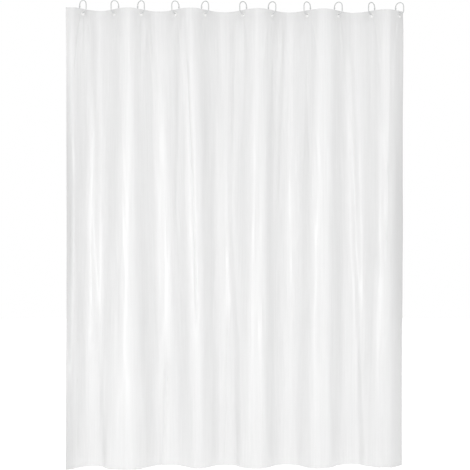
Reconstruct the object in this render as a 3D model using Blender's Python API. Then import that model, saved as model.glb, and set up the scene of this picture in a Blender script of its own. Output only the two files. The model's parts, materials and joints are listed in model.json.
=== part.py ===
"""Shower curtain: one frosted plastic sheet that hangs in soft upright folds from eleven snap rings.

Frame: X runs along the rod, the front faces -Y, and Z = 0 is the top line of the rod, where the rings
bear on it. X = 0 is the middle of the curtain as it hangs. Lengths are in metres, angles in degrees.
"""

import math

import bmesh
import bpy
from mathutils import Vector

# The sheet and how it hangs
HUNG_WIDTH = 1.479
SHEET_HEIGHT = 2.0
SHEET_THICKNESS = 0.00015
TOP_ABOVE_EYELETS = 0.0215
FOLD_SLOPE = 44.0  # how far the sheet turns from the line of the rod where it passes a ring
LEFT_MARGIN = 0.0705  # from the left edge to the first ring, along the rod
LEFT_FOLD = 0.105  # width of the front fold that the left margin is part of
RETURN_LENGTH = 0.062  # the strip past the last ring, which curls away to the back
RETURN_TURN = 92.0

# How unevenly the rings stand on the rod, added to the even pitch, and how far each line where the
# sheet crosses under the rod has wandered sideways by the bottom edge
PITCH_OFFSETS = (0.0, -0.025, 0.011, -0.009, 0.028, -0.012, 0.0155, -0.0015, 0.008, -0.015)
FOLD_DRIFTS = (-0.026, -0.034, 0.022, 0.055, 0.015, -0.007, -0.007, -0.017, -0.017, -0.013, -0.004)

# Welded strips on the back of the sheet
HEADER_HEIGHT = 0.044
BOTTOM_HEM_HEIGHT = 0.014
SIDE_HEM_WIDTH = 0.009
STRIP_THICKNESS = 0.0002
GAP = 0.0003  # between pieces that touch on the real curtain

# Eyelets
EYELET_BORE_RADIUS = 0.006
EYELET_WALL = 0.0007
EYELET_FLANGE_RADIUS = 0.0105
EYELET_FLANGE_THICKNESS = 0.001
EYELET_CHAMFER = 0.0004

# Rings
RING_HEIGHT = 0.060
RING_WIDTH = 0.044
WIRE_RADIUS = 0.0025
RING_YAW = 38.0  # between a ring's plane and the rod
RING_SEAT_GAP = 0.0005  # between the ring's lowest bend and the top of its eyelet
PEG_RADIUS = 0.0015
PEG_LENGTH = 0.0032
PEG_CLEARANCE = 0.00035
SOCKET_RADIUS = 0.0034
SOCKET_LENGTH = 0.0052
SOCKET_TAPER = 0.0013

# Resolution
COLUMNS_PER_FOLD = 8
ROWS_BELOW_HEADER = 5
EYELET_SEGMENTS = 16
WIRE_SIDES = 8
BEND_STEPS = 11  # odd, so that a straight facet lies in the eyelet
CURL_STEPS = 40

SLOPE = math.radians(FOLD_SLOPE)
RING_COUNT = len(PITCH_OFFSETS) + 1
DRILL_LENGTH = 0.012
EYELET_Z = WIRE_RADIUS * 2 - RING_HEIGHT + WIRE_RADIUS * 2 + RING_SEAT_GAP - EYELET_BORE_RADIUS
SHEET_TOP = EYELET_Z + TOP_ABOVE_EYELETS
SHEET_BOTTOM = SHEET_TOP - SHEET_HEIGHT
BARREL_RADIUS = EYELET_BORE_RADIUS + EYELET_WALL
HOLE_RADIUS = BARREL_RADIUS + GAP

# Distances along the sheet's back normal, from the middle of the sheet
SHEET_BACK = SHEET_THICKNESS / 2
STRIP_FRONT = SHEET_BACK + GAP
STRIP_BACK = STRIP_FRONT + STRIP_THICKNESS
FLANGE_BACK = -SHEET_BACK - GAP
FLANGE_FRONT = FLANGE_BACK - EYELET_FLANGE_THICKNESS
WASHER_FRONT = STRIP_BACK + GAP
WASHER_BACK = WASHER_FRONT + EYELET_FLANGE_THICKNESS


def clear_scene():
    for obj in list(bpy.data.objects):
        bpy.data.objects.remove(obj, do_unlink=True)


def plastic(name, colour, roughness, alpha=1.0, transmission=0.0):
    material = bpy.data.materials.new(name)
    material.use_nodes = True
    shader = material.node_tree.nodes["Principled BSDF"]
    shader.inputs["Base Color"].default_value = (*colour, 1.0)
    shader.inputs["Roughness"].default_value = roughness
    shader.inputs["Metallic"].default_value = 0.0
    shader.inputs["Alpha"].default_value = alpha
    shader.inputs["Transmission Weight"].default_value = transmission
    material.diffuse_color = (*colour, alpha)
    return material


def return_curl(length):
    """Where the sheet lies, from the last ring, after this much of the strip that curls to the back."""
    x = y = 0.0
    step = length / CURL_STEPS
    for index in range(CURL_STEPS):
        share = (index + 0.5) * step / RETURN_LENGTH
        angle = SLOPE + math.radians(RETURN_TURN) * share**2
        x += step * math.cos(angle)
        y += step * math.sin(angle)
    return x, y


def return_reach():
    """How far the curl reaches along the rod before it turns back."""
    upright = RETURN_LENGTH * math.sqrt((90.0 - FOLD_SLOPE) / RETURN_TURN)
    return return_curl(min(upright, RETURN_LENGTH))[0]


def ring_places():
    """The rings' places along the rod."""
    spread = HUNG_WIDTH - LEFT_MARGIN - return_reach()
    pitch = (spread - sum(PITCH_OFFSETS)) / (RING_COUNT - 1)
    places = [LEFT_MARGIN - HUNG_WIDTH / 2]
    for offset in PITCH_OFFSETS:
        places.append(places[-1] + pitch + offset)
    return places


RING_X = ring_places()


def crossing(index, z):
    """Where along the rod the sheet passes from front to back, or back to front, at this height."""
    fall = min(1.0, max(0.0, (EYELET_Z - z) / (EYELET_Z - SHEET_BOTTOM)))
    return RING_X[index] + FOLD_DRIFTS[index] * fall * fall * (3 - 2 * fall)


def fold_depth(width):
    return width * math.tan(SLOPE) / math.pi


def fold_point(u, z):
    """A point of the sheet's middle surface. u is 0 at the left edge, 1 at the first ring, 2 at the
    second, and RING_COUNT + 1 at the right edge."""
    if u < 1:
        first = crossing(0, z)
        left = -HUNG_WIDTH / 2
        x = left + (first - left) * u
        return x, -fold_depth(LEFT_FOLD) * math.sin(math.pi * (first - x) / LEFT_FOLD)
    index = min(int(u), RING_COUNT) - 1
    start = crossing(index, z)
    if index == RING_COUNT - 1:
        dx, dy = return_curl((u - RING_COUNT) * RETURN_LENGTH)
        return start + dx, dy
    width = crossing(index + 1, z) - start
    share = u - 1 - index
    side = 1 if index % 2 == 0 else -1
    return start + width * share, side * fold_depth(width) * math.sin(math.pi * share)


def sheet_point(u, z, offset):
    """The point this far behind the middle surface."""
    step = 1e-4
    x0, y0 = fold_point(max(u - step, 0.0), z)
    x1, y1 = fold_point(min(u + step, RING_COUNT + 1.0), z)
    along = Vector((x1 - x0, y1 - y0)).normalized()
    x, y = fold_point(u, z)
    return Vector((x - along.y * offset, y + along.x * offset, z))


def column_values(start, end):
    """Values of u from start to end, close together on every fold."""
    count = (RING_COUNT + 1) * COLUMNS_PER_FOLD
    inner = [i / COLUMNS_PER_FOLD for i in range(1, count)]
    clear = 0.2 / COLUMNS_PER_FOLD
    return [start] + [u for u in inner if start + clear < u < end - clear] + [end]


def row_heights(top, bottom, rows):
    return [top + (bottom - top) * i / rows for i in range(rows + 1)]


def add_object(name, bm, material, smooth_angle=30.0):
    mesh = bpy.data.meshes.new(name)
    bmesh.ops.recalc_face_normals(bm, faces=bm.faces)
    bm.to_mesh(mesh)
    bm.free()
    mesh.materials.append(material)
    mesh.shade_smooth()
    mesh.set_sharp_from_angle(angle=math.radians(smooth_angle))
    obj = bpy.data.objects.new(name, mesh)
    bpy.context.scene.collection.objects.link(obj)
    return obj


def slab(name, columns, heights, front, back, material):
    """A thin closed sheet that follows the folds, between two distances behind the middle surface."""
    bm = bmesh.new()
    layers = [
        [[bm.verts.new(sheet_point(u, z, offset)) for u in columns] for z in heights]
        for offset in (front, back)
    ]
    last_row, last_column = len(heights) - 1, len(columns) - 1
    for layer in layers:  # both split the same way, so that the thin wall never crosses itself
        for upper, lower in zip(layer, layer[1:]):
            for col in range(last_column):
                bm.faces.new((upper[col], upper[col + 1], lower[col + 1]))
                bm.faces.new((upper[col], lower[col + 1], lower[col]))
    fore, aft = layers
    for row in (0, last_row):
        for col in range(last_column):
            bm.faces.new((fore[row][col], aft[row][col], aft[row][col + 1], fore[row][col + 1]))
    for col in (0, last_column):
        for row in range(last_row):
            bm.faces.new((fore[row][col], fore[row + 1][col], aft[row + 1][col], aft[row][col]))
    return add_object(name, bm, material)


def lathe(name, profile, segments, material):
    """A closed ring turned about Z from a closed profile of (radius, height) points."""
    bm = bmesh.new()
    turns = []
    for step in range(segments):
        angle = 2 * math.pi * step / segments
        turns.append([bm.verts.new((r * math.cos(angle), r * math.sin(angle), h)) for r, h in profile])
    for step in range(segments):
        here, there = turns[step], turns[(step + 1) % segments]
        for index in range(len(profile)):
            after = (index + 1) % len(profile)
            bm.faces.new((here[index], there[index], there[after], here[after]))
    return add_object(name, bm, material)


def tube(name, stations, sides, material):
    """A closed round bar through stations of (x, z, heading, radius) in the XZ plane."""
    bm = bmesh.new()
    circles = []
    for x, z, heading, radius in stations:
        across = Vector((-math.sin(heading), 0.0, math.cos(heading)))
        circle = []
        for side in range(sides):
            angle = 2 * math.pi * (side + 0.5) / sides
            offset = across * math.cos(angle) + Vector((0.0, math.sin(angle), 0.0))
            circle.append(bm.verts.new(Vector((x, 0.0, z)) + offset * radius))
        circles.append(circle)
    for first, second in zip(circles, circles[1:]):
        for side in range(sides):
            after = (side + 1) % sides
            bm.faces.new((first[side], first[after], second[after], second[side]))
    bm.faces.new(circles[0])
    bm.faces.new(circles[-1])
    return add_object(name, bm, material)


def slope_at(index):
    """The sheet's turn from the rod at this ring: front to back at the first, and so on by turns."""
    return SLOPE if index % 2 == 0 else -SLOPE


def eyelet_cutter(index):
    """A drill for the hole that one eyelet's barrel passes through."""
    bpy.ops.mesh.primitive_cylinder_add(
        vertices=EYELET_SEGMENTS,
        radius=HOLE_RADIUS,
        depth=DRILL_LENGTH,
        location=(RING_X[index], 0.0, EYELET_Z),
        rotation=(math.radians(-90), 0.0, slope_at(index)),
    )
    return bpy.context.object


def eyelet_drills():
    """All the drills in one hidden guide."""
    drills = [eyelet_cutter(index) for index in range(RING_COUNT)]
    bpy.ops.object.select_all(action="DESELECT")
    for drill in drills:
        drill.select_set(True)
    bpy.context.view_layer.objects.active = drills[0]
    bpy.ops.object.join()
    guide = bpy.context.object
    guide.name = "eyelet_drills"
    guide.hide_render = True
    guide.display_type = "WIRE"
    return guide


def pierce(obj, guide):
    cut = obj.modifiers.new("eyelet_holes", "BOOLEAN")
    cut.operation = "DIFFERENCE"
    cut.solver = "EXACT"
    cut.object = guide


def build_sheet(material, guide):
    header_foot = SHEET_TOP - HEADER_HEIGHT
    hem_top = SHEET_BOTTOM + BOTTOM_HEM_HEIGHT
    heights = [SHEET_TOP, *row_heights(header_foot, hem_top, ROWS_BELOW_HEADER), SHEET_BOTTOM]
    columns = column_values(0.0, RING_COUNT + 1.0)
    sheet = slab("curtain_sheet", columns, heights, -SHEET_BACK, SHEET_BACK, material)
    pierce(sheet, guide)


def build_strips(material, guide):
    """The welded header and hems, on the back of the sheet, end to end with a small gap."""
    far = RING_COUNT + 1.0
    whole = column_values(0.0, far)
    header_foot = SHEET_TOP - HEADER_HEIGHT
    header = slab("header_band", whole, [SHEET_TOP, header_foot], STRIP_FRONT, STRIP_BACK, material)
    pierce(header, guide)
    hem_top = SHEET_BOTTOM + BOTTOM_HEM_HEIGHT
    slab("bottom_hem", whole, [hem_top, SHEET_BOTTOM], STRIP_FRONT, STRIP_BACK, material)
    heights = row_heights(header_foot - GAP, hem_top + GAP, ROWS_BELOW_HEADER)
    left_end = SIDE_HEM_WIDTH / (LEFT_MARGIN / math.cos(SLOPE / 2))
    right_start = far - SIDE_HEM_WIDTH / RETURN_LENGTH
    slab("left_hem", [0.0, left_end], heights, STRIP_FRONT, STRIP_BACK, material)
    slab("right_hem", [right_start, far], heights, STRIP_FRONT, STRIP_BACK, material)


def build_eyelets(material):
    """A flanged barrel from the front and a washer on it from the back, at each ring."""
    rim = EYELET_FLANGE_RADIUS
    cut = EYELET_CHAMFER
    front_profile = (
        (EYELET_BORE_RADIUS, FLANGE_FRONT),
        (rim - cut, FLANGE_FRONT),
        (rim, FLANGE_FRONT + cut),
        (rim, FLANGE_BACK),
        (BARREL_RADIUS, FLANGE_BACK),
        (BARREL_RADIUS, WASHER_BACK),
        (EYELET_BORE_RADIUS, WASHER_BACK),
    )
    back_profile = (
        (HOLE_RADIUS, WASHER_FRONT),
        (rim, WASHER_FRONT),
        (rim, WASHER_BACK - cut),
        (rim - cut, WASHER_BACK),
        (HOLE_RADIUS, WASHER_BACK),
    )
    for index, x in enumerate(RING_X):
        for side, profile in (("front", front_profile), ("back", back_profile)):
            name = f"eyelet_{side}_{index + 1:02d}"
            piece = lathe(name, profile, EYELET_SEGMENTS, material)
            piece.location = (x, 0.0, EYELET_Z)
            piece.rotation_euler = (math.radians(-90), 0.0, slope_at(index))


def ring_stations():
    """The ring's bar from its peg, down the leg behind the sheet, under, up, over and to its socket."""
    bend = RING_WIDTH / 2 - WIRE_RADIUS
    crown = WIRE_RADIUS - bend
    foot = 3 * WIRE_RADIUS - RING_HEIGHT + bend
    middle = (crown + foot) / 2
    down, half = -math.pi / 2, PEG_CLEARANCE / 2
    bore = PEG_RADIUS + PEG_CLEARANCE
    stations = [
        (-bend, middle + PEG_LENGTH, down, PEG_RADIUS),
        (-bend, middle - half, down, PEG_RADIUS),
        (-bend, middle - half, down, WIRE_RADIUS),
    ]
    for centre, start in ((foot, math.pi), (crown, 0.0)):
        for step in range(BEND_STEPS + 1):
            angle = start + math.pi * step / BEND_STEPS
            place = (bend * math.cos(angle), centre + bend * math.sin(angle))
            stations.append((*place, angle + math.pi / 2, WIRE_RADIUS))
    stations += [
        (-bend, middle + half + SOCKET_LENGTH + SOCKET_TAPER, down, WIRE_RADIUS),
        (-bend, middle + half + SOCKET_LENGTH, down, SOCKET_RADIUS),
        (-bend, middle + half, down, SOCKET_RADIUS),
        (-bend, middle + half, down, bore),
        (-bend, middle + PEG_LENGTH + PEG_CLEARANCE, down, bore),
    ]
    return stations


def build_rings(material):
    """Each ring's socket leg hangs behind the sheet, so every second ring is turned half round."""
    for index, x in enumerate(RING_X):
        ring = tube(f"ring_{index + 1:02d}", ring_stations(), WIRE_SIDES, material)
        ring.location = (x, 0.0, 0.0)
        yaw = -RING_YAW if index % 2 == 0 else RING_YAW + 180.0
        ring.rotation_euler = (0.0, 0.0, math.radians(yaw))


def build():
    clear_scene()
    frosted = plastic("frosted_sheet", (0.90, 0.91, 0.91), 0.42, alpha=0.85, transmission=0.35)
    welded = plastic("welded_strip", (0.86, 0.87, 0.87), 0.38, alpha=0.9, transmission=0.25)
    eyelet_white = plastic("eyelet_white", (0.93, 0.93, 0.92), 0.3)
    ring_white = plastic("ring_white", (0.82, 0.82, 0.81), 0.28)
    guide = eyelet_drills()
    build_sheet(frosted, guide)
    build_strips(welded, guide)
    build_eyelets(eyelet_white)
    build_rings(ring_white)


build()
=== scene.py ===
"""A frosted plastic shower curtain on its snap rings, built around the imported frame.

X runs along the rod, the front faces -Y, and Z = 0 is the line that the rod's top lies on. Lengths are
in metres.
"""

import json
import math

import bmesh
import bpy
import numpy as np
from bpy.props import FloatProperty, FloatVectorProperty, IntProperty, PointerProperty
from mathutils import Matrix, Vector

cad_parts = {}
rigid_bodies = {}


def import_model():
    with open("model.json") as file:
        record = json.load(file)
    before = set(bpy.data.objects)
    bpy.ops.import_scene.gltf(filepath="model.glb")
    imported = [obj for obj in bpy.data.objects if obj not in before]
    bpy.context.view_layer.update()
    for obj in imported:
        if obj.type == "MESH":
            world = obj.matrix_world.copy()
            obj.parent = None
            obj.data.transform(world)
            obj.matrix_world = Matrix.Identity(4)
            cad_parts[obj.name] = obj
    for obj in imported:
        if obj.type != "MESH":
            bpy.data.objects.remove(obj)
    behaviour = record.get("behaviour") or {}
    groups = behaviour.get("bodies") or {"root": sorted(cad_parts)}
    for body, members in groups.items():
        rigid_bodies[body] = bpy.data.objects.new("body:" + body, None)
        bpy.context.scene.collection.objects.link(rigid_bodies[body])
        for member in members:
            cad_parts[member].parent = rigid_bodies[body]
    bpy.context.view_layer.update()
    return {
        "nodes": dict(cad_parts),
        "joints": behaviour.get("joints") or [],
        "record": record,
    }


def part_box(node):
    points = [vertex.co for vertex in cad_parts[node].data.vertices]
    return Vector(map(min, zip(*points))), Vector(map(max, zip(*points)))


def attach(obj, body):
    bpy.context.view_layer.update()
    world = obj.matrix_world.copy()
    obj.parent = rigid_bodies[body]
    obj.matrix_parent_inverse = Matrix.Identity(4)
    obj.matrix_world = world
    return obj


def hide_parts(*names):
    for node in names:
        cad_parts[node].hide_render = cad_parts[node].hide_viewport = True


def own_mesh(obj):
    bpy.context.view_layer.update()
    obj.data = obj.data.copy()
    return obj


bl_info = {
    "name": "Frosted Shower Curtain",
    "version": (1, 0, 0),
    "blender": (4, 5, 0),
    "location": "3D View > Sidebar > Curtain",
    "description": "Makes a frosted shower curtain, its eyelets and its snap rings around a packed frame",
    "category": "Object",
}

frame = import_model()

# ------------------------------------------------------------ sizes and places read from the frame


def numbered(name, index):
    return f"{name}_{index + 1:02d}"


def joint_named(name):
    return next(joint for joint in frame["joints"] if joint["name"] == name)


RING_COUNT = sum(name.startswith("ring_") for name in frame["nodes"])
# A tilted eyelet's box isn't centred on its ring, so the places come from the rings' own hinges.
RING_X = [joint_named(numbered("swivel", index))["pos_m"][0] for index in range(RING_COUNT)]
EYELET_LOW, EYELET_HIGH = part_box("eyelet_front_01")
EYELET_Z = (EYELET_LOW.z + EYELET_HIGH.z) / 2
FLANGE_RADIUS = (EYELET_HIGH.z - EYELET_LOW.z) / 2
SHEET_LOW, SHEET_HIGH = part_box("curtain_sheet")
HEADER_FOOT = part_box("header_band")[0].z
HEM_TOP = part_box("bottom_hem")[1].z
SIDE_HEM_FOOT, SIDE_HEM_TOP = (corner.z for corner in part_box("left_hem"))
GATHER = joint_named("gather")
GATHER_ROOM = RING_X[-1] - RING_X[0]
GATHERED_SHARE = 1 - GATHER["range_m"][1] / GATHER_ROOM
CURTAIN_BODY, LAST_SLIDER = GATHER["parent"], GATHER["child"]

# ------------------------------------------------------------ how the sheet hangs

FOLD_SLOPE = math.radians(44.0)  # the sheet's turn from the rod where it passes a ring
LEFT_FOLD = 0.105
RETURN_LENGTH = 0.062  # the strip past the last ring, which curls away to the back
RETURN_TURN = math.radians(92.0)
FOLD_DRIFTS = (-0.026, -0.034, 0.022, 0.055, 0.015, -0.007, -0.007, -0.017, -0.017, -0.013, -0.004)
CURL_STEPS = 240
SQUARING = 0.09  # how much flatter the folds' crests are, low down, than plain waves
SQUARING_DROPS = (0.10, 0.75)  # below the eyelets, where that starts and where it is whole
EDGE_CURL_DEPTH = 0.030  # how far the left edge turns to the back
EDGE_CURL_WIDTH = 0.026
LAST_U = RING_COUNT + 1.0  # the right edge, in folds counted from the left edge

SHEET_THICKNESS = 0.00015
STRIP_THICKNESS = 0.0002
LAYER_GAP = 0.0003
SIDE_HEM_WIDTH = 0.009
BACK_OF_SHEET = SHEET_THICKNESS / 2
FRONT_OF_STRIP = BACK_OF_SHEET + LAYER_GAP
BACK_OF_STRIP = FRONT_OF_STRIP + STRIP_THICKNESS

COLUMNS_PER_FOLD = 36
HEADER_ROWS = 10
UPPER_ROWS = 22
LOWER_ROWS = 78
HEM_ROWS = 2
UPPER_FOOT = HEADER_FOOT - 0.24


def fold_depth(width):
    return width * math.tan(FOLD_SLOPE) / math.pi


def return_curl():
    """Distances along the strip past the last ring, and the X and Y that it has reached at each."""
    along = np.linspace(0.0, RETURN_LENGTH, CURL_STEPS)
    angle = FOLD_SLOPE + RETURN_TURN * (along / RETURN_LENGTH) ** 2
    step = along[1]
    across = np.concatenate([[0.0], np.cumsum(np.cos(angle[1:]) + np.cos(angle[:-1])) * step / 2])
    back = np.concatenate([[0.0], np.cumsum(np.sin(angle[1:]) + np.sin(angle[:-1])) * step / 2])
    return along, across, back


CURL = return_curl()


def smooth_step(share):
    share = np.clip(share, 0.0, 1.0)
    return share * share * (3 - 2 * share)


def wave(share, z):
    """A fold's depth across it, as a share of a plain wave's. Low down its crest is flatter and its
    sides are steeper, and the length of sheet in it stays the same."""
    start, whole = SQUARING_DROPS
    extra = SQUARING * smooth_step((EYELET_Z - z - start) / (whole - start))
    same_length = 1 / np.sqrt(1 + 9 * extra**2)
    return same_length * (np.sin(np.pi * share) + extra * np.sin(3 * np.pi * share))


def left_edge_curl(x, z):
    """How far the sheet's free left edge turns to the back. It is most at half height."""
    drop = (SHEET_HIGH.z - z) / (SHEET_HIGH.z - SHEET_LOW.z)
    along = (x - SHEET_LOW.x) / EDGE_CURL_WIDTH
    return EDGE_CURL_DEPTH * np.exp(-along * along) * np.sin(np.pi * np.clip(drop, 0.0, 1.0)) ** 1.3


def crossings(z):
    """Where the sheet passes under the rod at these heights, one array for each ring."""
    ease = smooth_step((EYELET_Z - z) / (EYELET_Z - SHEET_LOW.z))
    return [x + drift * ease for x, drift in zip(RING_X, FOLD_DRIFTS)]


def fold_xy(u, z):
    """The plain folds: u is 0 at the left edge, 1 at the first ring, 2 at the second and so on."""
    lines = crossings(z)
    x = SHEET_LOW.x + (lines[0] - SHEET_LOW.x) * u
    y = -fold_depth(LEFT_FOLD) * np.sin(np.pi * (lines[0] - x) / LEFT_FOLD) + left_edge_curl(x, z)
    for index in range(RING_COUNT - 1):
        share = u - 1 - index
        width = lines[index + 1] - lines[index]
        side = 1 if index % 2 == 0 else -1
        x = np.where(share >= 0, lines[index] + width * share, x)
        y = np.where(share >= 0, side * fold_depth(width) * wave(share, z), y)
    past = (u - RING_COUNT) * RETURN_LENGTH
    x = np.where(past >= 0, lines[-1] + np.interp(past, CURL[0], CURL[1]), x)
    y = np.where(past >= 0, np.interp(past, CURL[0], CURL[2]), y)
    return x, y


def front_normal(u, z):
    """The level direction that the plain fold faces on its front side."""
    step = 2e-4
    x0, y0 = fold_xy(np.maximum(u - step, 0.0), z)
    x1, y1 = fold_xy(np.minimum(u + step, LAST_U), z)
    length = np.hypot(x1 - x0, y1 - y0)
    return (y1 - y0) / length, -(x1 - x0) / length


def pitches(index):
    """Metres of sheet for each whole step of u, before and after this ring."""
    edges = [SHEET_LOW.x, *RING_X]
    steepness = math.cos(FOLD_SLOPE)
    before = (edges[index + 1] - edges[index]) / steepness
    if index == RING_COUNT - 1:
        return before, RETURN_LENGTH
    return before, (edges[index + 2] - edges[index + 1]) / steepness


def from_eyelet(u, z, index):
    """Distances along the sheet and up from the middle of one eyelet, and the scale of u there."""
    before, after = pitches(index)
    off = u - 1 - index
    scale = np.where(off >= 0, after, before)
    return off * scale, z - EYELET_Z, scale


# ------------------------------------------------------------ creases

# Broad folds and sharp creases that fall down the sheet: the path as (x, drop below the top edge)
# points, the half width, how far it stands out to the front, and whether it is sharp.
FALLS = (
    (((-0.648, 0.02), (-0.626, 0.55), (-0.630, 0.85), (-0.596, 1.45), (-0.560, 1.95)), 0.020, 0.0065, False),
    (((-0.482, 0.05), (-0.480, 0.40)), 0.006, -0.0020, True),
    (((-0.390, 0.02), (-0.420, 0.40)), 0.006, 0.0026, True),
    (((-0.388, 0.02), (-0.355, 0.38)), 0.006, 0.0026, True),
    (((-0.245, 0.03), (-0.246, 0.25), (-0.262, 1.05)), 0.011, 0.0040, False),
    (((-0.190, 0.02), (-0.165, 0.85)), 0.030, 0.0050, False),
    (((-0.219, 0.20), (-0.188, 0.85), (-0.171, 1.46)), 0.008, -0.0045, True),
    (((0.000, 0.02), (-0.018, 0.85), (-0.004, 1.15), (0.018, 1.45), (0.022, 1.90)), 0.016, 0.0055, False),
    (((0.030, 0.05), (0.031, 0.33)), 0.006, -0.0028, True),
    (((0.201, 0.03), (0.179, 0.62), (0.170, 1.02)), 0.012, 0.0045, False),
    (((0.160, 0.04), (0.158, 0.55)), 0.007, -0.0022, True),
    (((0.109, 1.22), (0.108, 1.99)), 0.005, 0.0024, True),
    (((0.300, 0.04), (0.318, 0.60), (0.312, 0.80)), 0.008, 0.0022, True),
    (((0.503, 0.15), (0.513, 0.45), (0.529, 0.92), (0.547, 1.28), (0.568, 2.00)), 0.018, 0.0070, False),
    (((0.666, 0.05), (0.664, 0.50), (0.652, 1.20)), 0.008, 0.0038, True),
    (((-0.302, 1.52), (-0.328, 1.99)), 0.010, -0.0055, True),
    (((-0.030, 1.30), (-0.055, 2.00)), 0.008, -0.0028, True),
    (((-0.530, 1.05), (-0.500, 2.00)), 0.018, -0.0035, False),
    (((0.330, 1.25), (0.345, 1.95)), 0.035, 0.0040, False),
    (((0.630, 1.10), (0.640, 2.00)), 0.024, -0.0050, False),
)
FADE_LENGTH = 0.12  # a crease dies away over this at its ends, unless it runs off the sheet
RUNS_OFF = 1.9

FANS_PER_EYELET = 5
FAN_LEANS = (-0.30, 0.30)  # the furthest that a fan crease leans from upright, as a share of its length
FAN_LENGTHS = (0.10, 0.55)
FAN_HEIGHTS = (0.0009, 0.0024)
FAN_WIDTHS = (0.004, 0.008)

RIPPLE_COUNT = 34
RIPPLE_LENGTHS = (0.014, 0.080)
RIPPLE_STEEPNESS = 0.034  # a ripple's height as a share of its wavelength

CLAMP_REACH = 1.1  # the sheet lies flat out to this share of a flange's radius
CLAMP_RUN = 0.014  # and is as creased as elsewhere this far beyond it

SEED = 11


def falling_crease(x, drop, path, half_width, height, sharp):
    drops = [point[1] for point in path]
    centre = np.interp(drop, drops, [point[0] for point in path])
    away = np.abs(x - centre) / half_width
    across = np.exp(-away * 1.3) if sharp else np.exp(-away * away)
    fade = smooth_step((drop - drops[0]) / FADE_LENGTH + 0.15)
    if drops[-1] < RUNS_OFF:
        fade = fade * smooth_step((drops[-1] - drop) / (2 * FADE_LENGTH))
    return height * across * fade


def fan_creases(x, drop, rng):
    """Short creases that spread down from every eyelet, where the sheet's weight gathers."""
    total = np.zeros_like(x)
    eyelet_drop = SHEET_HIGH.z - EYELET_Z
    for ring_x in RING_X:
        for lean in np.linspace(*FAN_LEANS, FANS_PER_EYELET):
            length = rng.uniform(*FAN_LENGTHS) * (1.2 - abs(lean))
            below = np.clip((drop - eyelet_drop) / length, 0.0, 1.0)
            bend = (lean + rng.uniform(-0.05, 0.05)) * length * np.sqrt(below) * 0.45
            width = rng.uniform(*FAN_WIDTHS) * (0.6 + below)
            height = rng.uniform(*FAN_HEIGHTS) * rng.choice((-1.0, 1.0))
            shape = np.exp(-1.2 * np.abs(x - ring_x - bend) / width)
            total += height * shape * smooth_step(below * 8) * smooth_step(1.0 - below)
    return total


def ripples(x, drop, rng):
    """Fine upright ripples, each leaning a little and coming and going down the sheet."""
    total = np.zeros_like(x)
    for _ in range(RIPPLE_COUNT):
        length = rng.uniform(*RIPPLE_LENGTHS)
        lean, bow = rng.uniform(-0.06, 0.06), rng.uniform(0.3, 1.4)
        phase, start = rng.uniform(0.0, 2 * math.pi, 2)
        place = x + lean * drop + 0.02 * np.sin(bow * drop * 3 + start)
        patch = 0.5 + 0.5 * np.sin(2 * math.pi * (drop * bow * 0.8 + x * 1.1) + start)
        total += length * patch**2 * np.sin(2 * math.pi * place / length + phase)
    return total * RIPPLE_STEEPNESS / math.sqrt(RIPPLE_COUNT)


def clamp_at_eyelets(u, z):
    """0 where an eyelet clamps the sheet flat, 1 away from it."""
    near = np.ones_like(u)
    for index in range(RING_COUNT):
        along, up, _ = from_eyelet(u, z, index)
        away = np.hypot(along, up)
        near = np.minimum(near, smooth_step((away - FLANGE_RADIUS * CLAMP_REACH) / CLAMP_RUN))
    return near


def relief(u, z, settings):
    """How far the sheet stands out to the front of its plain folds."""
    rng = np.random.default_rng(SEED)
    x, _ = fold_xy(u, z)
    drop = SHEET_HIGH.z - z
    creases = sum(falling_crease(x, drop, *fall) for fall in FALLS) + fan_creases(x, drop, rng)
    total = creases * settings.crease_depth + ripples(x, drop, rng) * settings.ripple_depth
    return total * clamp_at_eyelets(u, z)


def sheet_points(u, z, distances, settings):
    """Points of the creased sheet for grids of u and z, at distances behind its middle surface."""

    def surface(u, z):
        x, y = fold_xy(u, z)
        nx, ny = front_normal(u, z)
        out = relief(u, z, settings)
        return np.stack([x + nx * out, y + ny * out, z], axis=-1)

    step = 1e-3
    along = surface(np.minimum(u + step, LAST_U), z) - surface(np.maximum(u - step, 0.0), z)
    up = surface(u, z + step) - surface(u, z - step)
    back = np.cross(up, along)
    back /= np.linalg.norm(back, axis=-1, keepdims=True)
    here = surface(u, z)
    return [here + back * distance for distance in distances]


# ------------------------------------------------------------ meshes


def link_mesh(name, mesh, material, sharp_degrees):
    """A finished object at the origin. Edges sharper than the angle stay sharp."""
    mesh.shade_smooth()
    mesh.set_sharp_from_angle(angle=math.radians(sharp_degrees))
    mesh.materials.clear()
    mesh.materials.append(material)
    obj = bpy.data.objects.new(name, mesh)
    bpy.context.scene.collection.objects.link(obj)
    return obj


def distance_along(u):
    """How much sheet lies between its left edge and each u, at the eyelets' height."""
    fine = np.linspace(0.0, LAST_U, 4000)
    x, y = fold_xy(fine, np.full_like(fine, EYELET_Z))
    length = np.concatenate([[0.0], np.cumsum(np.hypot(np.diff(x), np.diff(y)))])
    return np.interp(u, fine, length)


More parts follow.
